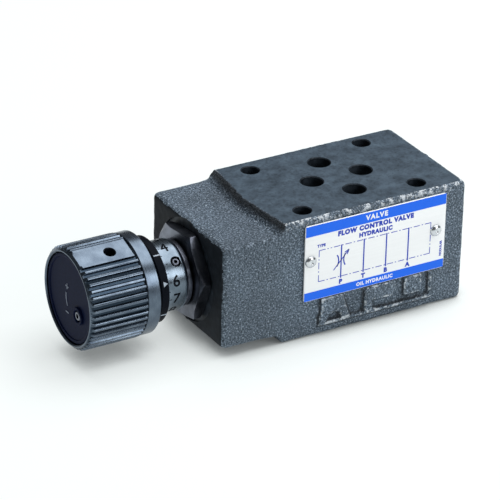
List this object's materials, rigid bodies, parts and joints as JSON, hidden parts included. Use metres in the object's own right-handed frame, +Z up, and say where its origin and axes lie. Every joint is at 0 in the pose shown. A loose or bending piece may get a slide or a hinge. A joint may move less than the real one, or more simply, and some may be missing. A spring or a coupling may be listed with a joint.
{
  "type": "flow control valve",
  "caption": "Sandwich-type hydraulic throttle valve: cast body with through ports, side nameplate and a ribbed knob on a scale barrel that moves the throttle spool.",
  "frame": {"origin": "centre of the bolt rectangle, on the bottom mounting face", "axes": "+Z up through the stack, square to the mounting face; +X along the valve's length, away from the knob; -Y towards the nameplate"},
  "size_m": [0.1257, 0.0462, 0.04],
  "materials": {
    "cast_body": "phosphated casting, ground top and bottom",
    "nameplate": "printed satin aluminium",
    "bright_steel": "bright ground steel",
    "black_oxide_steel": "black oxide",
    "scale_barrel": "satin anodised, engraved scale",
    "knob_anodised": "dark anodised, ribbed grip",
    "black_plastic": "moulded",
    "seal_rubber": "moulded nitrile"
  },
  "bodies": {
    "valve_body": {"valve_body": "cast_body", "nameplate": "nameplate", "nameplate_pin_left": "bright_steel", "nameplate_pin_right": "bright_steel", "port_p_o_ring": "seal_rubber", "port_t_o_ring": "seal_rubber", "port_a_o_ring": "seal_rubber", "port_b_o_ring": "seal_rubber", "hex_gland": "black_oxide_steel", "gland_o_ring": "seal_rubber", "stem_o_ring": "seal_rubber", "stem_backup_ring": "black_plastic", "scale_barrel": "scale_barrel", "barrel_grub_screw": "bright_steel", "barrel_lock_ring": "black_oxide_steel", "throttle_sleeve": "bright_steel", "sleeve_o_ring_rear": "seal_rubber", "sleeve_o_ring_front": "seal_rubber"},
    "spool": {"throttle_spool": "bright_steel", "return_spring": "bright_steel"},
    "knob": {"adjusting_stem": "bright_steel", "stem_stop_ring": "black_oxide_steel", "knob": "knob_anodised", "knob_cap": "black_plastic", "knob_set_screw": "black_oxide_steel", "cap_screw": "black_oxide_steel", "index_ring": "black_plastic"}
  },
  "joints": [
    {"name": "spool_travel", "type": "slide", "parent": "valve_body", "child": "spool", "axis": [1, 0, 0], "range_m": [-0.0019, 0.00565], "deforming": ["return_spring"]},
    {"name": "knob_turn", "type": "hinge", "parent": "spool", "child": "knob", "pos_m": [-0.06, 0, 0.0205], "axis": [1, 0, 0], "range_deg": [-450, 1350]}
  ],
  "couplings": [
    {"joint": "spool_travel", "follows": "knob_turn", "m_per_rad": 0.00023873}
  ]
}
